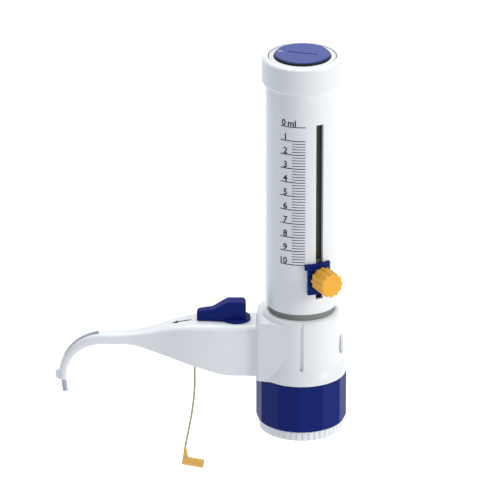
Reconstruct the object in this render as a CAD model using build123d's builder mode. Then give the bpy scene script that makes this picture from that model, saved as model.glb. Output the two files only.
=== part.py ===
"""Bottle top dispenser for 10 ml strokes, as separate pieces.

Millimetres, +Z up. The origin is the centre of the adapter's open mouth, on the piston's axis.
The discharge arm points along -X, and the scale faces -Y. Azimuths count from -Y towards +X.
"""

import math
import os

from build123d import *

os.makedirs("parts", exist_ok=True)

UPWARDS = (Align.CENTER, Align.CENTER, Align.MIN)
quarter_turn = 90.0

# ---------------------------------------------------------------- clearances
running_fit = 0.05  # radial, between a shaft and its bore
face_gap = 0.3  # between flat faces that pass each other
seat_gap = 0.02  # under a ball on its seat

# ---------------------------------------------------------------- volume
stroke_volume = 10000.0  # 10 ml, in cubic millimetres
piston_radius = 6.0
stroke = stroke_volume / (math.pi * piston_radius**2)

# ---------------------------------------------------------------- bottle adapter
adapter_ring_radius = 25.5
adapter_ring_height = 6.0
adapter_ring_bevel = 0.6
flute_count = 44
flute_radius = 1.0
flute_centre_radius = adapter_ring_radius + 0.35
bottle_thread_radius = 19.5  # crest of the inner thread
bottle_thread_length = 14.0
bottle_thread_depth = 0.9
bottle_thread_start = 2.2
thread_pitch = 4.0
thread_groove = 1.9
bottle_thread_turns = 3
nut_thread_turns = 4
bottle_seal_height = 1.5
bottle_seal_bore = 16.0
bottle_seal_undercut = 0.7
adapter_neck_radius = 22.4
adapter_neck_top = 25.4
adapter_thread_depth = 0.9
adapter_bore_radius = 15.5

# ---------------------------------------------------------------- union nut
nut_radius = 27.3
nut_sides = 12
nut_turned = -2.0
nut_bottom = adapter_ring_height + face_gap
nut_top = 36.2
nut_lower_bevel_height = 1.0
nut_lower_bevel = 1.0
nut_upper_bevel = 0.6
nut_lip_bore = 19.0
nut_relief = 0.6

# ---------------------------------------------------------------- valve block core
swivel_seal_height = 1.5
swivel_seal_radius = 21.0
swivel_seal_bore = 16.0
swivel_gap = 0.1
flange_radius = 21.8
flange_height = 4.0
block_neck_radius = 18.7
core_radius = 20.9
guide_socket = 7.0  # depth from the core's top
cylinder_socket = 5.5  # depth from the guide tube's socket
cylinder_rise = 4.5  # from the discharge channel to the cylinder's seat
cylinder_seal_height = 1.5
liquid_channel_radius = 2.0
discharge_height = 57.4  # centre line of the discharge channel
discharge_channel_radius = 1.2
return_channel_radius = 0.9
return_drop = 5.4  # under the discharge channel
return_offset = 12.0
return_spigot_radius = 2.5
return_spigot_bore = 1.5
return_spigot_bottom = 19.4
return_spigot_top = 34.4
vent_channel_radius = 1.2
vent_offset = 12.0
vent_drop = 4.0  # under the discharge channel
return_height = discharge_height - return_drop
vent_height = discharge_height - vent_drop
cylinder_seat = discharge_height + cylinder_rise
guide_socket_floor = cylinder_seat + cylinder_socket
core_top = guide_socket_floor + guide_socket

# ---------------------------------------------------------------- block casing
shell_gap = 0.1
shell_nut_gap = 0.4
shell_foot = nut_top + shell_nut_gap
shell_foot_radius = 26.9
shell_foot_wall = 1.6
shell_flare_top = 46.9
shell_flare_radius = 24.2
shell_radius = 23.5
shell_barrel_bottom = 53.4
shell_rim = 2.8  # above the core's top
shell_shoulder_height = 4.0
shell_rim_top = core_top + shell_rim
shell_shoulder = shell_rim_top - shell_shoulder_height
shell_rim_radius = 20.4
shell_mouth_radius = 20.0
slit_width = 2.0
slit_depth = 1.2
slit_reach = 5.0
flare_ease = 4.5
shoulder_ease = 1.4
skirt_top = 45.0
slit_bottom = 45.4
slit_end = 1.2  # under the rim
slit_top = shell_rim_top - slit_end
pad_distance = 27.0
pad_half_width = 16.0
pad_drop = 0.2  # under the core's top
pad_top = core_top - pad_drop
pad_corner = 2.4
pad_shoulder = 6.0
pad_flare_top = 43.6
pad_foot_half_width = 17.6
vent_plug_radius = 6.0
vent_plug_neck = 5.0
vent_plug_proud = 1.9
vent_plug_edge = 0.5

# ---------------------------------------------------------------- guide tube and cylinder
guide_radius = 17.6
guide_wall = 2.0
stop_ring_height = 3.5
bumper_gap = 0.1
landing_gap = 0.4
glass_wall = 2.45
glass_clear = 35.0  # from the guide tube's top down to the glass
collar_height = 8.0
piston_rest_gap = 1.0
piston_height = 10.0
piston_groove_depth = 0.4
piston_groove_height = 1.6
piston_grooves = (2.5, 6.0)
rod_radius = 3.0
rod_socket_depth = 6.0

# ---------------------------------------------------------------- filling valve
valve_body_radius = 5.0
valve_body_top = 47.4
valve_body_bottom = 23.4
valve_spigot_radius = 3.0
valve_spigot_bottom = 18.9
ball_radius = 2.4
ball_chamber_clearance = 0.2
ball_seat_radius = 1.3
filling_seat = 32.4
ball_lift = 1.2

# ---------------------------------------------------------------- sleeve and head
sleeve_radius = 21.7
sleeve_wall = 2.0
sleeve_clear = 4.2  # above the casing's rim
sleeve_bottom = shell_rim_top + sleeve_clear
sleeve_past_guide = 24.0
sleeve_guide_height = 6.0
sleeve_edge = 0.6
slot_azimuth = 28.8
slot_width = 4.9
slot_clear = 0.6  # past the upper tongue at 0 ml
slot_foot = 4.2  # below the plate at 10 ml
scale_full = 114.1  # height of the 10 ml line
head_radius = 24.3
head_grip = 9.5  # overlap of the cap and the sleeve
head_mouth_depth = 5.0
head_upper_round = 2.0
head_lower_round = 2.4
head_web = 2.5
head_mouth_radius = 20.5
insert_radius = 19.9
insert_floor = 1.2
insert_drop = 0.3
insert_gap = 0.3
disc_radius = 16.9
disc_proud = 1.7
disc_bevel = 1.0
disc_slot_length = 18.0
disc_slot_width = 1.1
disc_slot_depth = 1.6
disc_slot_turned = -15.0
index_near = 11.6
index_far = 14.8
index_width = 1.5
index_depth = 0.3
calibration_screw_radius = 4.0
calibration_screw_length = 12.8
coupling_radius = 7.0
coupling_length = 17.0
coupling_sides = 6
coupling_web = 2.0

# ---------------------------------------------------------------- volume setting
plate_thickness = 2.0
plate_left = 8.5
plate_right = 46.0
plate_below = 18.8  # under the 10 ml line
plate_above = 0.6
plate_edge = 0.5
pointer_azimuth = 4.0
pointer_height = 3.2
pointer_above = 0.5
pointer_root = 4.0  # degrees that the pointer runs into the plate
tongue_width = 4.7
tongue_reach = 1.6
tongue_lower = (-15.7, -12.5)
tongue_upper = (-4.9, 0.1)
lug_width = 7.0
lug_below = 15.7
lug_above = 2.1
lug_gap = 0.15
knob_below = 8.7
knob_boss_radius = 5.4
knob_boss_length = 1.0
knob_radius = 7.6
knob_lobes = 12
knob_lobe_radius = 1.3
knob_length = 12.4
knob_edge = 1.0
knob_core_radius = 6.9
clamp_screw_radius = 1.8
clamp_screw_in_knob = 8.0

# ---------------------------------------------------------------- heights that follow
knob_height = scale_full - knob_below
lug_top = scale_full + lug_above
stop_ring_bottom = lug_top + stroke + face_gap
guide_top = stop_ring_bottom + stop_ring_height
glass_top = guide_top - glass_clear
glass_bottom = cylinder_seat + cylinder_seal_height
piston_rest = glass_bottom + piston_rest_gap
bumper_top = sleeve_bottom - landing_gap
sleeve_top = guide_top + sleeve_past_guide
slot_bottom = scale_full - plate_below - slot_foot
slot_top = scale_full + tongue_upper[1] + stroke + slot_clear
head_bottom = sleeve_top - head_grip
head_floor = sleeve_top + head_web
head_top = head_floor + head_mouth_depth
disc_top = head_top + disc_proud
coupling_bottom = sleeve_top - coupling_length

# ---------------------------------------------------------------- discharge arm
arm_wall = 1.7
arm_end_wall = 1.8
arm_foot_rise = 0.6  # from the casing's foot to the arm's underside
arm_rise = 12.4  # from the discharge channel to the arm's top
lever_gap = 0.2
arm_end = 120.0
neck_width = 9.6
neck_height = 7.2
neck_corner = 2.6
arm_steps = 16
arm_hollow_end = 86.0
arm_hollow_steps = 7
arm_hollow_corner = 0.6
# each size eases from its value at the block to its value at the neck, between two distances,
# and the last number is the share of that length that rounds off each end of the slope
arm_foot = shell_foot + arm_foot_rise
lever_seat = discharge_height + arm_rise + lever_gap
arm_underside = (arm_foot, discharge_height - neck_height / 2, 41.0, 107.0, 0.15)
arm_top = (discharge_height + arm_rise, discharge_height + neck_height / 2, 54.0, 114.0, 0.5)
arm_width = (26.0, neck_width, 46.0, 110.0, 0.5)
arm_corner = (4.4, neck_corner, 46.0, 110.0, 0.5)
arm_lower_corner = (1.6, neck_corner, 60.0, 110.0, 0.5)
tube_passage_start = 84.0
nozzle_bend = 24.0
nozzle_turn = 97.0  # degrees from the arm's line to the tip
nozzle_end_size = 4.8
nozzle_corner_share = 0.46
channel_width = 4.6
channel_from = 5.0
channel_to = 63.0
nozzle_lug_height = 6.2
nozzle_lug_proud = 2.6
nozzle_lug_thickness = 2.6
nozzle_lug_round = 0.9  # share of its height above the nozzle that is rounded
tube_radius = 1.65
tube_bore = 1.0
tube_start = 56.5
tube_reach = 8.2  # past the nozzle's end
cover_from = 32.0
cover_to = 44.0
cover_half_width = 7.5
cover_thickness = 1.6
cover_gap = 0.1
cover_inset = 0.5
cover_seat = 1.8  # from the cover's outside to its lip
cover_bottom = arm_foot + cover_inset
cover_floor = cover_bottom + cover_seat
cover_lip = 0.6
arm_screw_radius = 1.5
arm_screw_head_radius = 2.8
arm_screw_head = 2.0
arm_screw_length = 8.5
arm_screw_spread = 8.0
arm_screw_drop = 12.0  # under the discharge channel
arm_screw_height = discharge_height - arm_screw_drop
arm_screw_socket = 1.05

# ---------------------------------------------------------------- discharge valve
discharge_body_radius = 7.5
discharge_body_inner = 19.5
discharge_body_outer = 58.0
discharge_spigot_radius = 4.0
discharge_spigot_length = 4.5
plug_distance = 39.3
plug_radius = 5.0
plug_drop = 6.8  # under the discharge channel
plug_floor = discharge_height - plug_drop
plug_gap = 0.2
plug_drive = 6.0
plug_drive_height = 3.2
outlet_drop = 46.2
discharge_chamber_distance = 52.0
discharge_seat_drop = 3.5
discharge_seat = discharge_height - discharge_seat_drop

# ---------------------------------------------------------------- lever
lever_base_radius = 8.6
lever_base_height = 1.6
lever_back = 33.4
lever_grip_end = 46.5
lever_tip = 63.1
lever_grip_width = 9.8
lever_tip_width = 5.8
lever_height = 12.3
lever_pointer_height = 7.1
lever_top = lever_seat + lever_height
lever_pointer_top = lever_seat + lever_pointer_height
lever_slope_start = 44.4
lever_slope_end = 53.5
lever_corner = 2.2
lever_tip_drop = 1.0
lever_hollow = 6.0  # radius at the foot of the slope
lever_edge = 2.0
lever_waist = 12.0  # radius where the grip's sides turn towards the tip
lever_round = 1.4
lever_level = 0.05  # least upward lean of a face of the lever's top

# ---------------------------------------------------------------- strap and closure cap
strap_diameter = 1.3
anchor_radius = 2.4
anchor_height = 1.6
anchor_stem_radius = 1.4
anchor_foot = 42.1
anchor_head = 46.6
strap_gap = 0.4
# route of the strap, as distance from the axis and height
strap_route = [
    (64.6, anchor_foot - strap_gap),
    (64.35, 31.7),
    (64.6, 21.3),
    (65.9, 9.4),
    (68.0, -2.8),
    (70.4, -15.2),
]
strap_corner_share = 0.45
cap_radius = 2.7
cap_length = 13.3
cap_bore = 1.75
cap_bore_depth = 10.0
cap_closed_end = (72.2, -24.3)  # distance from the axis and height of its centre
cap_turned = 11.0
cap_edge = 0.6
web_foot = 4.2


def keep(piece, node):
    """Labels a finished piece and writes its STEP file."""
    piece.part.label = node
    export_step(piece.part, f"parts/{node}.step")


def on_circle(radius, azimuth):
    """Point on a circle about the axis, at an azimuth counted from -Y towards +X."""
    turned = math.radians(azimuth)
    return (radius * math.sin(turned), -radius * math.cos(turned))


def ring(inner, outer, bottom, top):
    """Plain tube about the axis, as part of the running BuildPart."""
    with Locations((0, 0, bottom)):
        Cylinder(outer, top - bottom, align=UPWARDS)
        Cylinder(inner, top - bottom, align=UPWARDS, mode=Mode.SUBTRACT)


def bore(radius, bottom, top, across=0.0):
    """Vertical hole in the running BuildPart, at a place along X."""
    with Locations((across, 0, bottom)):
        Cylinder(radius, top - bottom, align=UPWARDS, mode=Mode.SUBTRACT)


def arm_rod(radius, near, far, height, mode=Mode.ADD, side=0.0):
    """Cylinder along the arm between two distances from the axis."""
    with Locations((-near, side, height)):
        Cylinder(radius, far - near, rotation=(0, -quarter_turn, 0), align=UPWARDS, mode=mode)


def lathe_cut(points):
    """Cut turned about the axis, from the corners of its section as radius and height."""
    with BuildPart() as turned:
        with BuildSketch(Plane.XZ):
            with BuildLine():
                Polyline(*points, close=True)
            make_face()
        revolve(axis=Axis.Z)
    add(turned.part, mode=Mode.SUBTRACT)


def thread_grooves(radius, depth, first, count):
    """Grooves of a thread of the set pitch, cut to a depth from a radius (inwards if negative)."""
    for turn in range(count):
        middle = first + turn * thread_pitch
        lathe_cut(
            [
                (radius - depth / 2, middle - thread_groove / 2 - abs(depth) / 2),
                (radius + depth, middle - thread_groove / 2 + abs(depth) / 2),
                (radius + depth, middle + thread_groove / 2 - abs(depth) / 2),
                (radius - depth / 2, middle + thread_groove / 2 + abs(depth) / 2),
            ]
        )


# ================================================================ bottle adapter
seal_seat_top = bottle_thread_length + bottle_seal_height
with BuildPart() as bottle_adapter:
    with BuildSketch():
        Circle(adapter_ring_radius)
        with PolarLocations(flute_centre_radius, flute_count):
            Circle(flute_radius, mode=Mode.SUBTRACT)
    extrude(amount=adapter_ring_height)
    lathe_cut(
        [
            (adapter_ring_radius - adapter_ring_bevel, adapter_ring_height),
            (adapter_ring_radius + flute_radius, adapter_ring_height),
            (adapter_ring_radius + flute_radius, adapter_ring_height - 2 * adapter_ring_bevel),
        ]
    )
    lathe_cut(
        [
            (adapter_ring_radius - adapter_ring_bevel, 0),
            (adapter_ring_radius + flute_radius, 0),
            (adapter_ring_radius + flute_radius, 2 * adapter_ring_bevel),
        ]
    )
    with BuildSketch(Plane.XY.offset(adapter_ring_height)):
        Circle(adapter_neck_radius)
    extrude(amount=adapter_neck_top - adapter_ring_height)
    bore(adapter_bore_radius, 0, adapter_neck_top)
    bore(bottle_thread_radius, 0, bottle_thread_length)
    bore(bottle_thread_radius + bottle_seal_undercut, bottle_thread_length, seal_seat_top)
    thread_grooves(bottle_thread_radius, bottle_thread_depth, bottle_thread_start, bottle_thread_turns)
    thread_grooves(adapter_neck_radius, -adapter_thread_depth, adapter_ring_height + thread_pitch,
        nut_thread_turns)
keep(bottle_adapter, "bottle_adapter")

with BuildPart() as bottle_seal:
    seal_outer = bottle_thread_radius + bottle_seal_undercut - running_fit
    ring(bottle_seal_bore, seal_outer, bottle_thread_length, seal_seat_top)
keep(bottle_seal, "bottle_seal")

# ================================================================ union nut
swivel_seal_bottom = adapter_neck_top + swivel_gap
flange_bottom = swivel_seal_bottom + swivel_seal_height
flange_top = flange_bottom + flange_height
nut_lip_bottom = flange_top + face_gap
nut_bore_radius = adapter_neck_radius + running_fit
with BuildPart() as union_nut:
    with BuildSketch(Plane.XY.offset(nut_bottom)):
        RegularPolygon(nut_radius, nut_sides, rotation=nut_turned)
        Circle(nut_lip_bore, mode=Mode.SUBTRACT)
    extrude(amount=nut_top - nut_bottom)
    lathe_cut(
        [
            (nut_radius - nut_lower_bevel, nut_bottom),
            (nut_radius + nut_lower_bevel, nut_bottom),
            (nut_radius + nut_lower_bevel, nut_bottom + 2 * nut_lower_bevel_height),
        ]
    )
    lathe_cut(
        [
            (nut_radius - nut_upper_bevel, nut_top),
            (nut_radius + nut_upper_bevel, nut_top),
            (nut_radius + nut_upper_bevel, nut_top - 2 * nut_upper_bevel),
        ]
    )
    bore(nut_bore_radius, nut_bottom, nut_lip_bottom)
    lathe_cut(
        [
            (nut_bore_radius - nut_relief, nut_bottom),
            (nut_bore_radius + nut_relief, nut_bottom),
            (nut_bore_radius - nut_relief, nut_bottom + 2 * nut_relief),
        ]
    )
    thread_grooves(nut_bore_radius, adapter_thread_depth, nut_bottom + thread_pitch,
        nut_thread_turns)
keep(union_nut, "union_nut")

# ================================================================ valve block core
with BuildPart() as swivel_seal:
    ring(swivel_seal_bore, swivel_seal_radius, swivel_seal_bottom, flange_bottom)
keep(swivel_seal, "swivel_seal")

glass_radius = piston_radius + running_fit + glass_wall
valve_seat_radius = discharge_body_radius + running_fit
spigot_seat_radius = discharge_spigot_radius + running_fit
spigot_seat = discharge_body_inner - discharge_spigot_length
with BuildPart() as block_core:
    with BuildSketch(Plane.XY.offset(flange_bottom)):
        Circle(flange_radius)
    extrude(amount=flange_height)
    with BuildSketch(Plane.XY.offset(flange_top)):
        Circle(block_neck_radius)
    extrude(amount=shell_foot - flange_top)
    with BuildSketch(Plane.XY.offset(shell_foot)):
        Circle(core_radius)
    extrude(amount=core_top - shell_foot)
    bore(guide_radius + running_fit, guide_socket_floor, core_top)
    bore(glass_radius + running_fit, cylinder_seat, guide_socket_floor)
    bore(liquid_channel_radius, valve_body_top, cylinder_seat)
    bore(valve_body_radius + running_fit, flange_bottom, valve_body_top)
    bore(return_spigot_radius, flange_bottom, return_spigot_top, -return_offset)
    bore(return_channel_radius, return_spigot_top, return_height, -return_offset)
    bore(vent_channel_radius, flange_bottom, vent_height, vent_offset)
    # discharge channel, the seat of the arm's valve, and the return channel beside it
    arm_rod(discharge_channel_radius, 0, discharge_body_inner, discharge_height, Mode.SUBTRACT)
    arm_rod(valve_seat_radius, discharge_body_inner, core_radius, discharge_height, Mode.SUBTRACT)
    arm_rod(spigot_seat_radius, spigot_seat, discharge_body_inner, discharge_height, Mode.SUBTRACT)
    arm_rod(return_channel_radius, return_offset, discharge_body_inner, return_height, Mode.SUBTRACT)
    # drying port on the side away from the arm
    arm_rod(vent_channel_radius, -core_radius, -vent_offset, vent_height, Mode.SUBTRACT)
keep(block_core, "block_core")

# ================================================================ block casing
shell_inside = core_radius + shell_gap


def pad_plan(round_radius, half_width):
    """Plan of the pad's block: its flat end, and sides that run tangent to the round barrel."""
    corner = math.hypot(pad_distance, half_width)
    turned = math.atan2(half_width, pad_distance) + math.acos(round_radius / corner)
    touch = (-round_radius * math.cos(turned), round_radius * math.sin(turned))
    Polygon(
        (-pad_distance, -half_width),
        (touch[0], -touch[1]),
        touch,
        (-pad_distance, half_width),
        align=None,
    )
    fillet(vertices().group_by(Axis.X)[0], pad_corner)


# the pad that carries the arm flares at its foot, as the barrel does
pad_barrel = shell_radius - shell_gap
with BuildPart() as pad_block:
    with BuildSketch(Plane.XY.offset(shell_foot)):
        pad_plan(pad_barrel, pad_foot_half_width)
    with BuildSketch(Plane.XY.offset(pad_flare_top)):
        pad_plan(pad_barrel, pad_half_width)
    loft()
    with BuildSketch(Plane.XY.offset(pad_flare_top)):
        pad_plan(pad_barrel, pad_half_width)
    extrude(amount=pad_top - pad_flare_top)
    with BuildSketch(Plane.XZ):
        with Locations((-pad_distance, shell_foot)):
            Rectangle(pad_distance, pad_top - shell_foot, align=(Align.MIN, Align.MIN))
        fillet(vertices().group_by(Axis.Y)[-1].sort_by(Axis.X)[0], pad_shoulder)
    extrude(amount=pad_distance, both=True, mode=Mode.INTERSECT)

with BuildPart() as block_shell:
    with BuildSketch(Plane.XZ):
        with BuildLine():
            foot = Line((0, shell_foot), (shell_foot_radius, shell_foot))
            flare = Bezier(
                foot @ 1,
                (shell_foot_radius, shell_foot + flare_ease),
                (shell_flare_radius, shell_flare_top - flare_ease),
                (shell_flare_radius, shell_flare_top),
            )
            waist = Line(flare @ 1, (shell_radius, shell_barrel_bottom))
            barrel = Line(waist @ 1, (shell_radius, shell_shoulder))
            shoulder = Bezier(
                barrel @ 1,
                (shell_radius, shell_rim_top - shoulder_ease),
                (shell_rim_radius + shoulder_ease, shell_rim_top),
                (shell_rim_radius, shell_rim_top),
            )
            Polyline(shoulder @ 1, (0, shell_rim_top), foot @ 0)
        make_face()
    revolve(axis=Axis.Z)
    add(pad_block.part)
    # room for the core, and the skirt's flared inside
    bore(shell_inside, shell_foot, core_top + shell_gap)
    bore(shell_mouth_radius, core_top, shell_rim_top)
    lathe_cut(
        [
            (shell_inside - 1, shell_foot),
            (shell_foot_radius - shell_foot_wall, shell_foot),
            (shell_inside - 1, skirt_top),
        ]
    )
    # parting grooves at the front and the back
    for side in (-1, 1):
        with Locations((0, side * (shell_radius - slit_depth), slit_bottom)):
            Box(
                slit_width,
                slit_reach,
                slit_top - slit_bottom,
                align=(Align.CENTER, Align.MAX if side < 0 else Align.MIN, Align.MIN),
                mode=Mode.SUBTRACT,
            )
    arm_rod(valve_seat_radius, core_radius - 2, pad_distance, discharge_height, Mode.SUBTRACT)
    for side in (-arm_screw_spread, arm_screw_spread):
        arm_rod(
            arm_screw_radius + running_fit,
            pad_distance + arm_end_wall - arm_screw_length,
            pad_distance,
            arm_screw_height,
            Mode.SUBTRACT,
            side,
        )
    arm_rod(
        vent_plug_neck + running_fit, -shell_foot_radius, -core_radius, vent_height, Mode.SUBTRACT
    )
    arm_rod(
        vent_plug_radius + face_gap, -shell_foot_radius, -shell_radius, vent_height, Mode.SUBTRACT
    )
keep(block_shell, "block_shell")

with BuildPart() as vent_plug:
    plug_outer = shell_radius + vent_plug_proud
    arm_rod(vent_plug_neck, -shell_radius - face_gap, -core_radius - shell_gap, vent_height)
    arm_rod(vent_plug_radius, -plug_outer, -shell_radius - face_gap, vent_height)
    fillet(vent_plug.faces().sort_by(Axis.X)[-1].edges(), vent_plug_edge)
    arm_rod(vent_channel_radius, -shell_radius, -core_radius, vent_height, Mode.SUBTRACT)
keep(vent_plug, "vent_plug")

with BuildPart() as bumper_ring:
    ring(
        guide_radius + bumper_gap,
        shell_mouth_radius - bumper_gap,
        core_top,
        bumper_top,
    )
keep(bumper_ring, "bumper_ring")

# ================================================================ cylinder and guide
with BuildPart() as guide_tube:
    ring(guide_radius - guide_wall, guide_radius, guide_socket_floor, guide_top)
keep(guide_tube, "guide_tube")

sleeve_inside = sleeve_radius - sleeve_wall
with BuildPart() as stop_ring:
    stop_ring_inside = guide_radius + running_fit / 2
    ring(stop_ring_inside, sleeve_inside - running_fit, stop_ring_bottom, guide_top)
keep(stop_ring, "stop_ring")

with BuildPart() as cylinder_seal:
    ring(piston_radius, glass_radius, cylinder_seat, glass_bottom)
keep(cylinder_seal, "cylinder_seal")

with BuildPart() as glass_cylinder:
    ring(piston_radius + running_fit, glass_radius, glass_bottom, glass_top)
keep(glass_cylinder, "glass_cylinder")

with BuildPart() as cylinder_collar:
    collar_outside = guide_radius - guide_wall - running_fit
    ring(glass_radius + running_fit, collar_outside, glass_top - collar_height, glass_top)
keep(cylinder_collar, "cylinder_collar")

with BuildPart() as piston:
    ring(rod_radius + seat_gap, piston_radius, piston_rest, piston_rest + piston_height)
    with Locations((0, 0, piston_rest)):
        Cylinder(piston_radius - 1, piston_height - rod_socket_depth, align=UPWARDS)
    for groove in piston_grooves:
        lathe_cut(
            [
                (piston_radius - piston_groove_depth, piston_rest + groove),
                (piston_radius + 1, piston_rest + groove),
                (piston_radius + 1, piston_rest + groove + piston_groove_height),
                (piston_radius - piston_groove_depth, piston_rest + groove + piston_groove_height),
            ]
        )
keep(piston, "piston")

rod_bottom = piston_rest + piston_height - rod_socket_depth
rod_top = coupling_bottom + rod_socket_depth
with BuildPart() as piston_rod:
    with Locations((0, 0, rod_bottom)):
        Cylinder(rod_radius, rod_top - rod_bottom, align=UPWARDS)
keep(piston_rod, "piston_rod")

# ================================================================ valves of the block
chamber_radius = ball_radius + ball_chamber_clearance
ball_rise = math.sqrt(ball_radius**2 - ball_seat_radius**2) + seat_gap
chamber_height = ball_rise + ball_radius + ball_lift + face_gap
with BuildPart() as filling_valve_body:
    with Locations((0, 0, valve_body_bottom)):
        Cylinder(valve_body_radius, valve_body_top - valve_body_bottom, align=UPWARDS)
    with Locations((0, 0, valve_spigot_bottom)):
        Cylinder(valve_spigot_radius, valve_body_bottom - valve_spigot_bottom, align=UPWARDS)
    bore(ball_seat_radius, valve_spigot_bottom, filling_seat)
    bore(chamber_radius, filling_seat, filling_seat + chamber_height)
    bore(liquid_channel_radius, filling_seat + chamber_height, valve_body_top)
keep(filling_valve_body, "filling_valve_body")

with BuildPart() as filling_ball:
    with Locations((0, 0, filling_seat + ball_rise)):
        Sphere(ball_radius)
keep(filling_ball, "filling_ball")

with BuildPart() as return_spigot:
    with Locations((-return_offset, 0, return_spigot_bottom)):
        Cylinder(
            return_spigot_radius - seat_gap,
            return_spigot_top - return_spigot_bottom,
            align=UPWARDS,
        )
    bore(return_spigot_bore, return_spigot_bottom, return_spigot_top, -return_offset)
keep(return_spigot, "return_spigot")

# ================================================================ sleeve and head
slot_plane = Plane(
    origin=(0, 0, 0),
    x_dir=(math.cos(math.radians(slot_azimuth)), math.sin(math.radians(slot_azimuth)), 0),
    z_dir=(*on_circle(1, slot_azimuth), 0),
)
with BuildPart() as volume_sleeve:
    ring(sleeve_inside, sleeve_radius, sleeve_bottom, sleeve_top)
    ring(
        guide_radius + 2 * running_fit,
        sleeve_radius - sleeve_wall / 2,
        sleeve_bottom,
        sleeve_bottom + sleeve_guide_height,
    )
    foot_edges = volume_sleeve.edges().filter_by(GeomType.CIRCLE).group_by(Axis.Z)[0]
    fillet(foot_edges.sort_by(SortBy.RADIUS)[-1], sleeve_edge)
    with BuildSketch(slot_plane):
        with Locations((0, (slot_bottom + slot_top) / 2)):
            Rectangle(slot_width, slot_top - slot_bottom)
    extrude(amount=sleeve_radius + 1, mode=Mode.SUBTRACT)
keep(volume_sleeve, "volume_sleeve")

screw_hole = calibration_screw_radius + running_fit
with BuildPart() as head_cap:
    with Locations((0, 0, head_bottom)):
        Cylinder(head_radius, head_top - head_bottom, align=UPWARDS)
    rims = head_cap.edges().filter_by(GeomType.CIRCLE).sort_by(Axis.Z)
    fillet(rims[-1], head_upper_round)
    fillet(rims[0], head_lower_round)
    bore(sleeve_radius + running_fit, head_bottom, sleeve_top)
    bore(head_mouth_radius, head_floor, head_top)
    bore(screw_hole, sleeve_top, head_floor)
keep(head_cap, "head_cap")

insert_top = head_top - insert_drop
insert_seat = head_floor + insert_floor
with BuildPart() as head_insert:
    ring(disc_radius + insert_gap, insert_radius, head_floor, insert_top)
    ring(screw_hole, insert_radius - 1, head_floor, insert_seat)
keep(head_insert, "head_insert")

disc_bottom = insert_seat + face_gap
with BuildPart() as calibration_disc:
    with Locations((0, 0, disc_bottom)):
        Cylinder(disc_radius, disc_top - disc_bottom, align=UPWARDS)
    chamfer(calibration_disc.edges().filter_by(GeomType.CIRCLE).sort_by(Axis.Z)[-1], disc_bevel)
    with BuildSketch(Plane.XY.offset(disc_top)):
        SlotOverall(disc_slot_length, disc_slot_width, rotation=disc_slot_turned)
    extrude(amount=-disc_slot_depth, mode=Mode.SUBTRACT)
    with BuildSketch(Plane.XY.offset(disc_top)):
        with Locations(Location((0, 0, 0), (0, 0, 180 + disc_slot_turned))):
            with Locations(((index_near + index_far) / 2, 0)):
                Rectangle(index_far - index_near, index_width)
    extrude(amount=-index_depth, mode=Mode.SUBTRACT)
keep(calibration_disc, "calibration_disc")

with BuildPart() as calibration_screw:
    with Locations((0, 0, disc_bottom - calibration_screw_length)):
        Cylinder(calibration_screw_radius, calibration_screw_length, align=UPWARDS)
keep(calibration_screw, "calibration_screw")

with BuildPart() as rod_coupling:
    with BuildSketch(Plane.XY.offset(coupling_bottom)):
        RegularPolygon(coupling_radius, coupling_sides)
    extrude(amount=sleeve_top - coupling_bottom)
    bore(rod_radius + seat_gap, coupling_bottom, rod_top)
    bore(screw_hole, rod_top + coupling_web, sleeve_top)
keep(rod_coupling, "rod_coupling")

# ================================================================ volume setting
plate_inside = sleeve_radius + running_fit
plate_outside = plate_inside + plate_thickness
plate_bottom = scale_full - plate_below
plate_top = scale_full + plate_above
pointer_top = scale_full + pointer_above
with BuildPart() as slider_plate:
    for low, high, left, right in (
        (plate_bottom, plate_top, plate_left, plate_right),
        (pointer_top - pointer_height, pointer_top, pointer_azimuth, plate_left + pointer_root),
    ):
        with BuildSketch(Plane.XY.offset(low)):
            with BuildLine():
                outer = ThreePointArc(
                    *[on_circle(plate_outside, turn) for turn in (left, (left + right) / 2, right)]
                )
                inner = ThreePointArc(
                    *[on_circle(plate_inside, turn) for turn in (left, (left + right) / 2, right)]
                )
                Line(outer @ 0, inner @ 0)
                Line(outer @ 1, inner @ 1)
            make_face()
        extrude(amount=high - low)
    fillet(slider_plate.edges().filter_by(Axis.Z).group_by(SortBy.LENGTH)[-1], plate_edge)
    with BuildSketch(slot_plane.offset(plate_outside - plate_thickness / 2)):
        with Locations((0, knob_height)):
            Circle(knob_boss_radius)
    extrude(amount=plate_thickness / 2 + knob_boss_length)
    # tongues that run in the sleeve's slot, above and below the screw
    for low, high in (tongue_lower, tongue_upper):
        with BuildSketch(slot_plane.offset(plate_inside + plate_thickness / 2)):
            with Locations((0, scale_full + (low + high) / 2)):
                Rectangle(tongue_width, high - low)
        extrude(amount=-tongue_reach - plate_thickness / 2)
    with BuildSketch(slot_plane):
        with Locations((0, knob_height)):
            Circle(clamp_screw_radius + running_fit)
    extrude(amount=plate_outside + knob_boss_length, mode=Mode.SUBTRACT)
keep(slider_plate, "slider_plate")

lug_bottom = scale_full - lug_below
with BuildPart() as slider_stop:
    ring(guide_radius + lug_gap, sleeve_inside - running_fit, lug_bottom, lug_top)
    with BuildSketch(slot_plane):
        with Locations((0, (lug_bottom + lug_top) / 2)):
            Rectangle(lug_width, 2 * (lug_top - lug_bottom))
    extrude(amount=sleeve_radius, mode=Mode.INTERSECT)
    with BuildSketch(slot_plane):
        with Locations((0, knob_height)):
            Circle(clamp_screw_radius + running_fit)
    extrude(amount=sleeve_radius, mode=Mode.SUBTRACT)
keep(slider_stop, "slider_stop")

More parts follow.
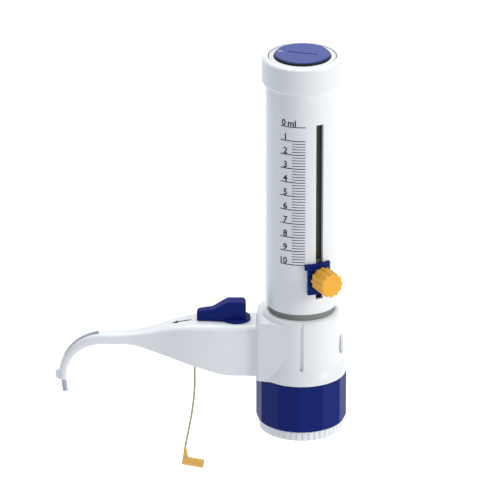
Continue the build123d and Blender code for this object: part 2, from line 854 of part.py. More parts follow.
knob_foot = plate_outside + knob_boss_length + face_gap
with BuildPart() as clamp_knob:
    with BuildSketch(slot_plane.offset(knob_foot)):
        with Locations((0, knob_height)):
            Circle(knob_core_radius)
            with PolarLocations(knob_radius - knob_lobe_radius, knob_lobes):
                Circle(knob_lobe_radius)
    extrude(amount=knob_length)
    knob_axis = Axis((0, 0, 0), slot_plane.z_dir)
    chamfer(clamp_knob.faces().sort_by(knob_axis)[-1].edges(), knob_edge / 2)
    with BuildSketch(slot_plane.offset(knob_foot)):
        with Locations((0, knob_height)):
            Circle(clamp_screw_radius + seat_gap)
    extrude(amount=clamp_screw_in_knob, mode=Mode.SUBTRACT)
keep(clamp_knob, "clamp_knob")

clamp_screw_tip = guide_radius + face_gap
with BuildPart() as clamp_screw:
    with BuildSketch(slot_plane.offset(clamp_screw_tip)):
        with Locations((0, knob_height)):
            Circle(clamp_screw_radius)
    extrude(amount=knob_foot + clamp_screw_in_knob - clamp_screw_tip)
keep(clamp_screw, "clamp_screw")


# ================================================================ discharge arm
def across_arm(distance):
    """Plane across the arm at a distance from the axis, with its own y upwards."""
    return Plane(origin=(-distance, 0, 0), x_dir=(0, -1, 0), z_dir=(-1, 0, 0))


tube_passage = tube_radius + running_fit


def eased(size, distance):
    """Size of the arm at a distance from the axis: level, a slope with rounded ends, then level."""
    at_block, at_neck, begins, ends, rounded = size
    along = min(max((distance - begins) / (ends - begins), 0), 1)
    from_end = min(along, 1 - along)
    if from_end < rounded:
        share = from_end**2 / (2 * rounded * (1 - rounded))
    else:
        share = (from_end - rounded / 2) / (1 - rounded)
    if along > from_end:
        share = 1 - share
    return at_block + (at_neck - at_block) * share


def arm_loft(first, last, steps, wall):
    """Solid of the arm between two distances, thinner all round by a wall."""
    with BuildPart() as made:
        for step in range(steps + 1):
            distance = first + (last - first) * step / steps
            low = eased(arm_underside, distance) + wall
            high = eased(arm_top, distance) - wall
            if wall:
                lower_corner = arm_hollow_corner
            else:
                lower_corner = eased(arm_lower_corner, distance)
            with BuildSketch(across_arm(distance)):
                with Locations((0, (low + high) / 2)):
                    Rectangle(eased(arm_width, distance) - 2 * wall, high - low)
                fillet(vertices().group_by(Axis.Y)[-1], eased(arm_corner, distance) - wall)
                fillet(vertices().group_by(Axis.Y)[0], lower_corner)
        loft()
    return made.part


bend_centre = (-arm_end, discharge_height - nozzle_bend)
turned_down = math.radians(nozzle_turn)
nozzle_end = (
    bend_centre[0] - nozzle_bend * math.sin(turned_down),
    bend_centre[1] + nozzle_bend * math.cos(turned_down),
)
with BuildPart() as arm_shell:
    add(arm_loft(pad_distance, arm_end, arm_steps, 0))
    with BuildLine(Plane.XZ):
        bend = CenterArc(bend_centre, nozzle_bend, quarter_turn, nozzle_turn)
    with BuildSketch(across_arm(arm_end)):
        with Locations((0, discharge_height)):
            RectangleRounded(neck_width, neck_height, neck_corner)
    with BuildSketch(Plane(origin=bend @ 1, x_dir=(0, -1, 0), z_dir=bend % 1)):
        RectangleRounded(nozzle_end_size, nozzle_end_size, nozzle_end_size * nozzle_corner_share)
    sweep(multisection=True)
    # lug on the outside of the bend, where the closure cap's strap can be held
    with BuildSketch(Plane.XZ):
        with Locations(nozzle_end):
            RectangleRounded(
                nozzle_end_size / 2 + nozzle_lug_proud,
                nozzle_lug_height,
                nozzle_lug_proud * nozzle_lug_round,
                align=(Align.MAX, Align.MIN),
            )
    extrude(amount=nozzle_lug_thickness / 2, both=True)
    # hollow of the arm, behind an end wall
    hollow_start = pad_distance + arm_end_wall
    add(arm_loft(hollow_start, arm_hollow_end, arm_hollow_steps, arm_wall), mode=Mode.SUBTRACT)
    # bore for the discharge tube, open on the outside of the bend
    arm_rod(tube_passage, tube_passage_start, arm_end, discharge_height, Mode.SUBTRACT)
    with BuildLine(Plane.XZ):
        CenterArc(bend_centre, nozzle_bend, quarter_turn, nozzle_turn)
    with BuildSketch(across_arm(arm_end)):
        with Locations((0, discharge_height)):
            Circle(tube_passage)
    sweep(mode=Mode.SUBTRACT)
    with BuildSketch(Plane.XZ):
        with BuildLine():
            channel_arcs = [
                CenterArc(bend_centre, radius, quarter_turn + channel_from, channel_to - channel_from)
                for radius in (nozzle_bend, nozzle_bend + neck_height)
            ]
            Line(channel_arcs[0] @ 0, channel_arcs[1] @ 0)
            Line(channel_arcs[0] @ 1, channel_arcs[1] @ 1)
        make_face()
    extrude(amount=channel_width / 2, both=True, mode=Mode.SUBTRACT)
    # openings for the valve body, the screws, the valve's plug, the cover and the strap's anchor
    arm_rod(
        valve_seat_radius,
        pad_distance,
        pad_distance + 2 * arm_end_wall,
        discharge_height,
        Mode.SUBTRACT,
    )
    for side in (-arm_screw_spread, arm_screw_spread):
        arm_rod(
            arm_screw_radius + running_fit,
            pad_distance,
            pad_distance + arm_end_wall,
            arm_screw_height,
            Mode.SUBTRACT,
            side,
        )
    bore(plug_radius + running_fit, discharge_height, lever_seat, -plug_distance)
    with Locations((-(cover_from + cover_to) / 2, 0, 0)):
        Box(
            cover_to - cover_from,
            2 * cover_half_width,
            cover_floor,
            align=UPWARDS,
            mode=Mode.SUBTRACT,
        )
    bore(anchor_stem_radius + running_fit, anchor_foot, discharge_height, -strap_route[0][0])
keep(arm_shell, "arm_shell")

with BuildPart() as arm_cover:
    with Locations((-(cover_from + cover_to) / 2, 0, cover_bottom)):
        Box(
            cover_to - cover_from - 2 * cover_gap,
            2 * (cover_half_width - cover_gap),
            cover_floor - cover_bottom,
            align=UPWARDS,
        )
    with Locations((-(cover_from + cover_to) / 2, 0, cover_floor)):
        Box(
            cover_to - cover_from + 2 * cover_lip,
            2 * (cover_half_width + cover_lip),
            cover_thickness,
            align=UPWARDS,
        )
keep(arm_cover, "arm_cover")

with BuildPart() as arm_screws:
    head_near = pad_distance + arm_end_wall + cover_gap
    for side in (-arm_screw_spread, arm_screw_spread):
        arm_rod(
            arm_screw_radius,
            head_near - arm_screw_length,
            head_near,
            arm_screw_height,
            Mode.ADD,
            side,
        )
        arm_rod(
            arm_screw_head_radius,
            head_near,
            head_near + arm_screw_head,
            arm_screw_height,
            Mode.ADD,
            side,
        )
        arm_rod(
            arm_screw_socket,
            head_near + arm_screw_head / 2,
            head_near + arm_screw_head,
            arm_screw_height,
            Mode.SUBTRACT,
            side,
        )
keep(arm_screws, "arm_screws")

# ================================================================ discharge valve
with BuildPart() as discharge_valve_body:
    arm_rod(
        discharge_body_radius,
        discharge_body_inner,
        discharge_body_outer,
        discharge_height,
    )
    arm_rod(
        discharge_spigot_radius,
        spigot_seat,
        discharge_body_inner,
        discharge_height,
    )
    arm_rod(
        discharge_channel_radius,
        spigot_seat,
        outlet_drop,
        discharge_height,
        Mode.SUBTRACT,
    )
    bore(plug_radius + running_fit, plug_floor, lever_seat, -plug_distance)
    arm_rod(
        return_channel_radius,
        discharge_body_inner,
        plug_distance,
        return_height,
        Mode.SUBTRACT,
    )
    # way to the outlet ball: down, along under the ball, and up through its seat
    bore(return_channel_radius, return_height, discharge_height, -outlet_drop)
    arm_rod(
        return_channel_radius,
        outlet_drop,
        discharge_chamber_distance,
        return_height,
        Mode.SUBTRACT,
    )
    bore(ball_seat_radius, return_height, discharge_seat, -discharge_chamber_distance)
    bore(
        chamber_radius,
        discharge_seat,
        discharge_seat + chamber_height,
        -discharge_chamber_distance,
    )
    arm_rod(
        tube_bore,
        discharge_chamber_distance,
        tube_start,
        discharge_height,
        Mode.SUBTRACT,
    )
    arm_rod(
        tube_passage,
        tube_start,
        discharge_body_outer,
        discharge_height,
        Mode.SUBTRACT,
    )
keep(discharge_valve_body, "discharge_valve_body")

with BuildPart() as discharge_ball:
    with Locations((-discharge_chamber_distance, 0, discharge_seat + ball_rise)):
        Sphere(ball_radius)
keep(discharge_ball, "discharge_ball")

with BuildPart() as discharge_tube:
    with BuildLine(Plane.XZ):
        Line((-tube_start, discharge_height), (-arm_end, discharge_height))
        tube_bend = CenterArc(bend_centre, nozzle_bend, quarter_turn, nozzle_turn)
        Line(tube_bend @ 1, tube_bend @ 1 + tube_bend % 1 * tube_reach)
    with BuildSketch(across_arm(tube_start)):
        with Locations((0, discharge_height)):
            Circle(tube_radius)
            Circle(tube_bore, mode=Mode.SUBTRACT)
    sweep()
keep(discharge_tube, "discharge_tube")

with BuildPart() as valve_spindle:
    with Locations((-plug_distance, 0, plug_floor + plug_gap)):
        Cylinder(plug_radius, lever_seat - plug_floor - plug_gap, align=UPWARDS)
    with Locations((-plug_distance, 0, lever_seat)):
        Box(plug_drive, plug_drive, plug_drive_height, align=UPWARDS)
    arm_rod(
        discharge_channel_radius,
        plug_distance - plug_radius,
        plug_distance + plug_radius,
        discharge_height,
        Mode.SUBTRACT,
    )
    # branch that leads the liquid back to the bottle when the lever is turned
    bore(return_channel_radius, return_height, discharge_height, -plug_distance)
    for height in (return_height, discharge_height):
        with Locations((-plug_distance, 0, height)):
            Cylinder(
                return_channel_radius,
                plug_radius,
                rotation=(quarter_turn, 0, 0),
                align=UPWARDS,
                mode=Mode.SUBTRACT,
            )
keep(valve_spindle, "valve_spindle")

# ================================================================ lever
with BuildPart() as valve_lever:
    with BuildSketch(Plane.XY.offset(lever_seat)):
        with BuildLine():
            Polyline(
                (-lever_back, lever_grip_width / 2),
                (-lever_grip_end, lever_grip_width / 2),
                (-lever_tip, lever_tip_width / 2),
                (-lever_tip, -lever_tip_width / 2),
                (-lever_grip_end, -lever_grip_width / 2),
                (-lever_back, -lever_grip_width / 2),
                close=True,
            )
        make_face()
        fillet(vertices().group_by(Axis.X)[0], lever_edge)
        fillet(vertices().group_by(Axis.X)[-1], lever_edge)
        fillet([corner for corner in vertices() if abs(corner.X + lever_grip_end) < seat_gap], lever_waist)
    extrude(amount=lever_top - lever_seat)
    # side view: grip, slope and pointer
    with BuildSketch(Plane.XZ):
        with BuildLine():
            Polyline(
                (-lever_back, lever_seat),
                (-lever_back, lever_top),
                (-lever_slope_start, lever_top),
                (-lever_slope_end, lever_pointer_top),
                (-lever_tip, lever_pointer_top - lever_tip_drop),
                (-lever_tip, lever_seat),
                close=True,
            )
        make_face()
        fillet(vertices().sort_by(Axis.Y)[-3], lever_hollow)
        fillet(vertices().group_by(Axis.Y)[-1], lever_corner)
        fillet(vertices().group_by(Axis.X)[0].sort_by(Axis.Y)[-1], lever_corner)
    extrude(amount=lever_grip_width, both=True, mode=Mode.INTERSECT)
    upper_faces = valve_lever.faces().filter_by(lambda face: face.normal_at().Z > lever_level)
    upper_rim = ShapeList(edge for face in upper_faces for edge in face.edges())
    across = upper_rim.filter_by(Axis.Y)
    fillet([edge for edge in upper_rim if edge not in across], lever_round)
    with Locations((-plug_distance, 0, lever_seat)):
        Cylinder(lever_base_radius, lever_base_height, align=UPWARDS)
        Box(
            plug_drive + 2 * running_fit,
            plug_drive + 2 * running_fit,
            plug_drive_height + plug_gap,
            align=UPWARDS,
            mode=Mode.SUBTRACT,
        )
keep(valve_lever, "valve_lever")

# ================================================================ strap and closure cap
strap_pivot = strap_route[0][0]
with BuildPart() as strap_anchor:
    with Locations((-strap_pivot, 0, anchor_foot)):
        Cylinder(anchor_stem_radius, anchor_head - anchor_foot, align=UPWARDS)
    with Locations((-strap_pivot, 0, anchor_head)):
        Cylinder(anchor_radius, anchor_height, align=UPWARDS)
keep(strap_anchor, "strap_anchor")

strap_points = [Vector(-distance, 0, height) for distance, height in strap_route]
strap_runs = [after - before for before, after in zip(strap_points, strap_points[1:])]
strap_radii = [
    strap_corner_share
    * min(before.length, after.length)
    / math.tan(math.radians(before.get_angle(after)) / 2)
    for before, after in zip(strap_runs, strap_runs[1:])
]
print("strap radii", [round(radius, 1) for radius in strap_radii])
with BuildPart() as tether_strap:
    with BuildLine() as strap_line:
        FilletPolyline(*strap_points, radius=strap_radii)
    with BuildSketch(Plane(origin=strap_line.line @ 0, z_dir=strap_line.line % 0)):
        Circle(strap_diameter / 2)
    sweep()
strap_length = sum(edge.length for edge in strap_line.edges())
print("strap length", round(strap_length, 1))
keep(tether_strap, "tether_strap")

cap_slope = math.radians(cap_turned)
cap_plane = Plane(
    origin=(-cap_closed_end[0], 0, cap_closed_end[1]),
    x_dir=(0, 1, 0),
    z_dir=(math.cos(cap_slope), 0, -math.sin(cap_slope)),
)
strap_end = strap_line.line @ 1
with BuildPart() as closure_cap:
    with BuildSketch(cap_plane):
        Circle(cap_radius)
    extrude(amount=cap_length)
    fillet(closure_cap.edges().filter_by(GeomType.CIRCLE), cap_edge)
    # web that widens from the strap to the cap
    web_top = Plane(origin=strap_end, z_dir=strap_line.line % 1)
    with BuildSketch(web_top):
        Circle(strap_diameter / 2)
    web_bottom = Plane(
        origin=cap_plane.from_local_coords((0, 0, web_foot / 2)),
        x_dir=cap_plane.z_dir,
        z_dir=(-math.sin(cap_slope), 0, -math.cos(cap_slope)),
    )
    with BuildSketch(web_bottom):
        Ellipse(web_foot / 2, strap_diameter / 2)
    loft()
    with BuildSketch(cap_plane.offset(cap_length)):
        Circle(cap_bore)
    extrude(amount=-cap_bore_depth, mode=Mode.SUBTRACT)
keep(closure_cap, "closure_cap")
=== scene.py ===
"""Bottle top dispenser, dressed for a studio view: satin white and dark blue mouldings, a yellow
clamp knob, a printed scale, and a closure cap on its hanging strap."""

import math

import bpy
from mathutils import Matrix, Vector


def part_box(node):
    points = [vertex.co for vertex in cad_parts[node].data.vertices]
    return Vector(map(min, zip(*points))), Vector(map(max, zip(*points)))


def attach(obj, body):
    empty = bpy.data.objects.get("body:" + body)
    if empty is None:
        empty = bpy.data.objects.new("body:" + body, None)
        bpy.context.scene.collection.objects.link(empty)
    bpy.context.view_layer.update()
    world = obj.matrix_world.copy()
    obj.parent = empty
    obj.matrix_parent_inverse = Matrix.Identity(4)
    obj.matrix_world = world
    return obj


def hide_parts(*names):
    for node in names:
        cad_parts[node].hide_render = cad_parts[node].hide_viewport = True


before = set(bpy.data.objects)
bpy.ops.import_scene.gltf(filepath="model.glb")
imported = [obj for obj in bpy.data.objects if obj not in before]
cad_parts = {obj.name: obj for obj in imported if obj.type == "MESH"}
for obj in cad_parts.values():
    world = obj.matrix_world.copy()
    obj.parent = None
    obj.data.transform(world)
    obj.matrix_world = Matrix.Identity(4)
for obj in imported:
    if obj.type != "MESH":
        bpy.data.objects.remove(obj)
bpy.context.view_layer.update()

# ------------------------------------------------------------------ camera, light and floor
# The camera stands far off with a long lens, so that uprights stay nearly parallel, and looks
# down a little. White plastic needs a broad soft light from the right and a cooler, even fill.
MM = 0.001
view_target = Vector((-31, 0, 114.8)) * MM
view_distance = 3.6
view_drop = math.radians(23.1)
view_depth = 50
lens_length = 432

camera_data = bpy.data.cameras.new("camera")
camera_data.lens = lens_length
camera_data.clip_end = view_depth
camera = bpy.data.objects.new("camera", camera_data)
camera.location = view_target + view_distance * Vector(
    (0, -math.cos(view_drop), math.sin(view_drop))
)
camera.rotation_euler = (math.pi / 2 - view_drop, 0, 0)
bpy.context.collection.objects.link(camera)
bpy.context.scene.camera = camera
bpy.context.scene.view_settings.view_transform = "Standard"


def feed(tree, socket, value):
    """Gives a socket another node's output, or a plain number."""
    if isinstance(value, bpy.types.NodeSocket):
        tree.links.new(value, socket)
    else:
        socket.default_value = value


def combined(tree, operation, *values):
    """Result of a Math node on outputs and plain numbers."""
    node = tree.nodes.new("ShaderNodeMath")
    node.operation = operation
    for socket, value in zip(node.inputs, values):
        feed(tree, socket, value)
    return node.outputs[0]


fill_colour = (0.80, 0.89, 1.0, 1)
fill_strength = 0.44
backdrop_colour = (1, 1, 1, 1)
backdrop_strength = 1
world = bpy.data.worlds.new("studio")
bpy.context.scene.world = world
world.use_nodes = True
world_tree = world.node_tree
world_tree.nodes.clear()
world_out = world_tree.nodes.new("ShaderNodeOutputWorld")
world_mix = world_tree.nodes.new("ShaderNodeMixShader")
fill = world_tree.nodes.new("ShaderNodeBackground")
fill.inputs["Color"].default_value = fill_colour
fill.inputs["Strength"].default_value = fill_strength
backdrop = world_tree.nodes.new("ShaderNodeBackground")
backdrop.inputs["Color"].default_value = backdrop_colour
backdrop.inputs["Strength"].default_value = backdrop_strength
ray = world_tree.nodes.new("ShaderNodeLightPath").outputs
seen = combined(world_tree, "MAXIMUM", ray["Is Camera Ray"], ray["Is Glossy Ray"])
seen_or_through = combined(world_tree, "MAXIMUM", seen, ray["Is Transmission Ray"])
for source, socket in (
    (seen_or_through, world_mix.inputs[0]),
    (fill.outputs[0], world_mix.inputs[1]),
    (backdrop.outputs[0], world_mix.inputs[2]),
    (world_mix.outputs[0], world_out.inputs["Surface"]),
):
    world_tree.links.new(source, socket)


def soft_box(name, place, size, power, colour):
    """Square area lamp aimed at the middle of the sleeve."""
    data = bpy.data.lights.new(name, "AREA")
    data.size = size
    data.energy = power
    data.color = colour
    lamp = bpy.data.objects.new(name, data)
    lamp.location = place
    aim = view_target - Vector(place)
    lamp.rotation_euler = aim.to_track_quat("-Z", "Y").to_euler()
    bpy.context.collection.objects.link(lamp)


soft_box("key", place=(1.54, -0.72, 0.80), size=0.7, power=16.5, colour=(1.0, 0.99, 0.96))
soft_box("top", place=(-0.25, 0.35, 1.60), size=1.0, power=16, colour=(1.0, 1.0, 1.0))

floor_height = -0.1
floor_side = 30
floor_colour = (0.93, 0.93, 0.93, 1)
floor_roughness = 0.9
floor_glow_colour = (1, 1, 1, 1)
floor_white = 0.62  # added to what the lamps give it, where the camera sees it
bpy.ops.object.select_all(action="DESELECT")
bpy.ops.mesh.primitive_plane_add(size=floor_side, location=(0, 0, floor_height))
floor = bpy.context.object
floor.name = "floor"
pale_floor = bpy.data.materials.new("pale_floor")
pale_floor.use_nodes = True
floor_tree = pale_floor.node_tree
floor_shader = floor_tree.nodes["Principled BSDF"]
floor_shader.inputs["Base Color"].default_value = floor_colour
floor_shader.inputs["Roughness"].default_value = floor_roughness
floor_shader.inputs["Emission Color"].default_value = floor_glow_colour
ray = floor_tree.nodes.new("ShaderNodeLightPath").outputs
floor_seen = combined(floor_tree, "MAXIMUM", ray["Is Camera Ray"], ray["Is Glossy Ray"])
floor_glow = combined(floor_tree, "MULTIPLY", floor_seen, floor_white)
floor_tree.links.new(floor_glow, floor_shader.inputs["Emission Strength"])
floor.data.materials.append(pale_floor)

# ------------------------------------------------------------------ bottle adapter
# White polypropylene ring with a fluted grip, moulded in one piece with the two threads. A soft
# flat seal lies under its shoulder. All satin mouldings share one surface: a fine grain, a slight
# drift of tone, and rounded edges with a painted highlight in their colour.
drift_scale = 38
drift_detail = 3
grain_height = 0.1 * MM
edge_samples = 6
edge_from, edge_to = 0.995, 0.85  # how alike the rounded and the flat normals are
gloss_drift = 0.5


def noise_over(tree, scale, detail=2):
    """Noise on a piece's own coordinates."""
    place = tree.nodes.new("ShaderNodeTexCoord")
    noise = tree.nodes.new("ShaderNodeTexNoise")
    noise.inputs["Detail"].default_value = detail
    tree.links.new(place.outputs["Object"], noise.inputs["Vector"])
    feed(tree, noise.inputs["Scale"], scale)
    return noise.outputs["Fac"]


def ramp_of(tree, value, from_low, from_high, to_low=0, to_high=1):
    """Even ramp of a value between two limits."""
    ramp = tree.nodes.new("ShaderNodeMapRange")
    for socket, number in (
        ("From Min", from_low), ("From Max", from_high), ("To Min", to_low), ("To Max", to_high),
    ):
        ramp.inputs[socket].default_value = number
    tree.links.new(value, ramp.inputs["Value"])
    return ramp.outputs["Result"]


def satin_moulding_group():
    """Surface of a satin injection moulding with painted edge highlights, as a node group."""
    group = bpy.data.node_groups.new("satin_moulding", "ShaderNodeTree")
    face = group.interface
    for name, kind, value in (
        ("Colour", "NodeSocketColor", (0.8, 0.8, 0.8, 1)),
        ("Tone Drift", "NodeSocketFloat", 0.03),
        ("Grain Scale", "NodeSocketFloat", 1800.0),
        ("Grain Depth", "NodeSocketFloat", 0.08),
        ("Roughness", "NodeSocketFloat", 0.4),
        ("Edge Radius", "NodeSocketFloat", 0.0003),
        ("Edge Lift", "NodeSocketFloat", 0.15),
    ):
        face.new_socket(name, in_out="INPUT", socket_type=kind).default_value = value
    face.new_socket("Colour", in_out="OUTPUT", socket_type="NodeSocketColor")
    face.new_socket("Roughness", in_out="OUTPUT", socket_type="NodeSocketFloat")
    face.new_socket("Normal", in_out="OUTPUT", socket_type="NodeSocketVector")
    make, link = group.nodes.new, group.links.new
    given, result = make("NodeGroupInput").outputs, make("NodeGroupOutput").inputs

    # slow drift of tone over the moulding
    drift = noise_over(group, drift_scale, drift_detail)
    centred = combined(group, "SUBTRACT", drift, 0.5)
    amount = combined(group, "MULTIPLY", centred, given["Tone Drift"])
    tone = combined(group, "ADD", amount, 1)

    # rounded edges, and how far each point is from a flat face
    rounded = make("ShaderNodeBevel")
    rounded.samples = edge_samples
    link(given["Edge Radius"], rounded.inputs["Radius"])
    flat = make("ShaderNodeNewGeometry")
    alike = make("ShaderNodeVectorMath")
    alike.operation = "DOT_PRODUCT"
    link(rounded.outputs["Normal"], alike.inputs[0])
    link(flat.outputs["Normal"], alike.inputs[1])
    edge = ramp_of(group, alike.outputs["Value"], edge_from, edge_to)
    # painted highlight: near the edges the colour is lightened by the edge input
    lift = combined(group, "MULTIPLY_ADD", edge, given["Edge Lift"], tone)
    shade = make("ShaderNodeVectorMath")
    shade.operation = "SCALE"
    link(given["Colour"], shade.inputs[0])
    link(lift, shade.inputs["Scale"])
    link(shade.outputs["Vector"], result["Colour"])

    # fine grain of the mould as bump, and a drift of gloss with the tone
    bump = make("ShaderNodeBump")
    bump.inputs["Distance"].default_value = grain_height
    link(given["Grain Depth"], bump.inputs["Strength"])
    link(noise_over(group, given["Grain Scale"]), bump.inputs["Height"])
    link(rounded.outputs["Normal"], bump.inputs["Normal"])
    link(bump.outputs["Normal"], result["Normal"])
    gloss = combined(group, "MULTIPLY_ADD", amount, gloss_drift, given["Roughness"])
    link(gloss, result["Roughness"])
    return group


satin_moulding = satin_moulding_group()


def moulded_plastic(name, colour, roughness, specular=0.5, **surface):
    """Satin plastic of one colour. The keywords set the moulding group's other inputs."""
    material = bpy.data.materials.new(name)
    material.use_nodes = True
    shader = material.node_tree.nodes["Principled BSDF"]
    shader.inputs["Specular IOR Level"].default_value = specular
    moulding = material.node_tree.nodes.new("ShaderNodeGroup")
    moulding.node_tree = satin_moulding
    moulding.inputs["Colour"].default_value = (*colour, 1)
    moulding.inputs["Roughness"].default_value = roughness
    for socket, value in surface.items():
        moulding.inputs[socket.replace("_", " ").title()].default_value = value
    link = material.node_tree.links.new
    link(moulding.outputs["Colour"], shader.inputs["Base Color"])
    link(moulding.outputs["Roughness"], shader.inputs["Roughness"])
    link(moulding.outputs["Normal"], shader.inputs["Normal"])
    return material


def finish(material, *names):
    """Gives a material to CAD nodes."""
    for name in names:
        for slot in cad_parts[name].material_slots:
            slot.material = material


white_plastic = moulded_plastic("white_plastic", (0.83, 0.84, 0.85), 0.38, grain_depth=0.05)
soft_seal = moulded_plastic(
    "soft_seal", (0.62, 0.60, 0.56), 0.6, specular=0.3, tone_drift=0.08, grain_depth=0.15
)
finish(white_plastic, "bottle_adapter")
finish(soft_seal, "bottle_seal", "swivel_seal")

# ------------------------------------------------------------------ union nut
# Dark blue polypropylene nut with twelve flat sides, bevelled at the foot, which draws the block
# down on the adapter. Its surface is a satin that shows each side in its own tone.
# a strong painted highlight lightens the edges of the nut, the slider plate and the lever
blue_plastic = moulded_plastic(
    "blue_plastic", (0.006, 0.016, 0.150), 0.44, specular=0.07, tone_drift=0.10, edge_lift=0.8,
    grain_depth=0.06,
)
finish(blue_plastic, "union_nut")

# ------------------------------------------------------------------ valve block
# White casing over the valve block, with a grey landing ring in its mouth and the round plug of
# the drying port. The block inside is a plain matt moulding with its channels drilled.
matt_white = moulded_plastic("matt_white", (0.78, 0.79, 0.80), 0.55, grain_depth=0.1)
grey_elastomer = moulded_plastic(
    "grey_elastomer", (0.21, 0.23, 0.21), 0.6, specular=0.3, tone_drift=0.15, grain_depth=0.2
)
finish(white_plastic, "block_shell", "vent_plug")
finish(matt_white, "block_core")
finish(grey_elastomer, "bumper_ring")

# ------------------------------------------------------------------ guide tube and cylinder
# Extruded dark tube that the sleeve slides on, with the ring that stops the stroke. Inside it
# stands the ground glass cylinder with its fluoropolymer piston, seal and valves.
dark_plastic = moulded_plastic(
    "dark_plastic", (0.105, 0.100, 0.074), 0.5, specular=0.3, tone_drift=0.2, grain_depth=0.1
)
fluoropolymer = moulded_plastic(
    "fluoropolymer", (0.72, 0.74, 0.75), 0.35, specular=0.35, tone_drift=0.05
)
finish(dark_plastic, "guide_tube", "stop_ring", "cylinder_collar")
finish(
    fluoropolymer, "cylinder_seal", "piston", "filling_valve_body", "return_spigot",
    "discharge_valve_body",
)
finish(matt_white, "rod_coupling", "calibration_screw", "valve_spindle")

glass_colour = (0.93, 0.97, 0.96, 1)
glass_ior = 1.47
glass_haze_scale = 220
glass_roughness = (0.03, 0.09)
steel_colour = (0.62, 0.62, 0.61, 1)
steel_line_scale = 900
steel_roughness = (0.22, 0.42)


def uneven_gloss(material, scale, roughness):
    """Lets a roughness drift between two values over a material."""
    tree = material.node_tree
    gloss = ramp_of(tree, noise_over(tree, scale), 0, 1, *roughness)
    tree.links.new(gloss, tree.nodes["Principled BSDF"].inputs["Roughness"])


cylinder_glass = bpy.data.materials.new("cylinder_glass")
cylinder_glass.use_nodes = True
glass_shader = cylinder_glass.node_tree.nodes["Principled BSDF"]
glass_shader.inputs["Base Color"].default_value = glass_colour
glass_shader.inputs["Transmission Weight"].default_value = 1
glass_shader.inputs["IOR"].default_value = glass_ior
uneven_gloss(cylinder_glass, glass_haze_scale, glass_roughness)
finish(cylinder_glass, "glass_cylinder")

turned_steel = bpy.data.materials.new("turned_steel")
turned_steel.use_nodes = True
steel_shader = turned_steel.node_tree.nodes["Principled BSDF"]
steel_shader.inputs["Metallic"].default_value = 1
steel_shader.inputs["Base Color"].default_value = steel_colour
uneven_gloss(turned_steel, steel_line_scale, steel_roughness)
finish(turned_steel, "piston_rod", "clamp_screw", "arm_screws")

ball_ceramic = moulded_plastic("ball_ceramic", (0.86, 0.85, 0.81), 0.12, tone_drift=0.02)
finish(ball_ceramic, "filling_ball", "discharge_ball")

# ------------------------------------------------------------------ volume sleeve
# White sleeve with the slot of the volume setting. It is the grip that the user lifts and
# presses, so it is smooth, with a slightly glossier satin than the casing.
sleeve_plastic = moulded_plastic("sleeve_plastic", (0.83, 0.84, 0.85), 0.33, grain_depth=0.03)
finish(sleeve_plastic, "volume_sleeve")

# ------------------------------------------------------------------ printed scale
# Pad-printed in dark ink around the sleeve: a line for each millilitre, fine lines every 0.2 ml
# from 1 ml on, and plain numerals above the lines.
sleeve_radius = 21.7 * MM
full_height = 114.1 * MM
scale_length = 88.419 * MM
full_volume = 10
fine_steps = 5
ink_thickness = 0.05 * MM
line_steps = 12
line_left = math.radians(-36.4)
line_right = math.radians(4.9)
fine_left = math.radians(-16.4)
line_width = 0.54 * MM
fine_width = 0.44 * MM
numeral_height = 5.5 * MM
numeral_right = math.radians(-24.0)
numeral_lift = 0.55 * MM
numeral_weight = 0.13 * MM
numeral_curve_steps = 3
unit_right = math.radians(-9.6)
zero_right = math.radians(-27.0)

ink = moulded_plastic("scale_ink", (0.02, 0.02, 0.028), 0.5, specular=0.15, tone_drift=0.3)


def height_of(volume):
    """Height of a volume's line on the sleeve."""
    return full_height + scale_length * (full_volume - volume) / full_volume


def laid_on(piece, thickness, offset):
    """Gives a flat print the thickness of its ink."""
    layer = piece.modifiers.new("ink", "SOLIDIFY")
    layer.thickness = thickness
    layer.offset = offset
    bpy.ops.object.modifier_apply(modifier=layer.name)


def joined(pieces, name):
    """Joins the parts of a print into one piece."""
    bpy.ops.object.select_all(action="DESELECT")
    for piece in pieces:
        piece.select_set(True)
    bpy.context.view_layer.objects.active = pieces[0]
    bpy.ops.object.join()
    bpy.context.object.name = name
    return bpy.context.object


def printed_line(volume, left, right, width):
    """Flat line, as arc length against height, with the ink's thickness."""
    bpy.ops.object.select_all(action="DESELECT")
    bpy.ops.mesh.primitive_grid_add(x_subdivisions=line_steps, y_subdivisions=1, size=1)
    line = bpy.context.object
    for point in line.data.vertices:
        share = point.co.x + 0.5
        across = point.co.y * width
        point.co = (
            sleeve_radius * (left + (right - left) * share),
            height_of(volume) + across,
            0,
        )
    laid_on(line, ink_thickness, 1)
    return line


def printed_text(words, right, foot):
    """Flat words that end at an azimuth and stand on a height."""
    bpy.ops.object.select_all(action="DESELECT")
    bpy.ops.object.text_add()
    text = bpy.context.object
    text.data.body = words
    text.data.size = numeral_height
    text.data.align_x = "RIGHT"
    text.data.extrude = ink_thickness / 2
    text.data.offset = numeral_weight
    text.data.resolution_u = numeral_curve_steps
    bpy.ops.object.convert(target="MESH")
    for point in text.data.vertices:
        point.co.x += sleeve_radius * right
        point.co.y += foot
        point.co.z += ink_thickness / 2
    return text


printed = []
for volume in range(full_volume + 1):
    printed.append(printed_line(volume, line_left, line_right, line_width))
    if volume > 0:
        printed.append(
            printed_text(str(volume), numeral_right, height_of(volume) + numeral_lift)
        )
for step in range(fine_steps, full_volume * fine_steps):
    if step % fine_steps:
        printed.append(printed_line(step / fine_steps, fine_left, line_right, fine_width))
printed.append(printed_text("0", zero_right, height_of(0) + numeral_lift))
printed.append(printed_text("ml", unit_right, height_of(0) + numeral_lift))

scale_print = joined(printed, "scale_print")
for point in scale_print.data.vertices:
    azimuth = point.co.x / sleeve_radius
    out = sleeve_radius + point.co.z
    point.co = (out * math.sin(azimuth), -out * math.cos(azimuth), point.co.y)
scale_print.data.materials.clear()
scale_print.data.materials.append(ink)
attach(scale_print, "sleeve")
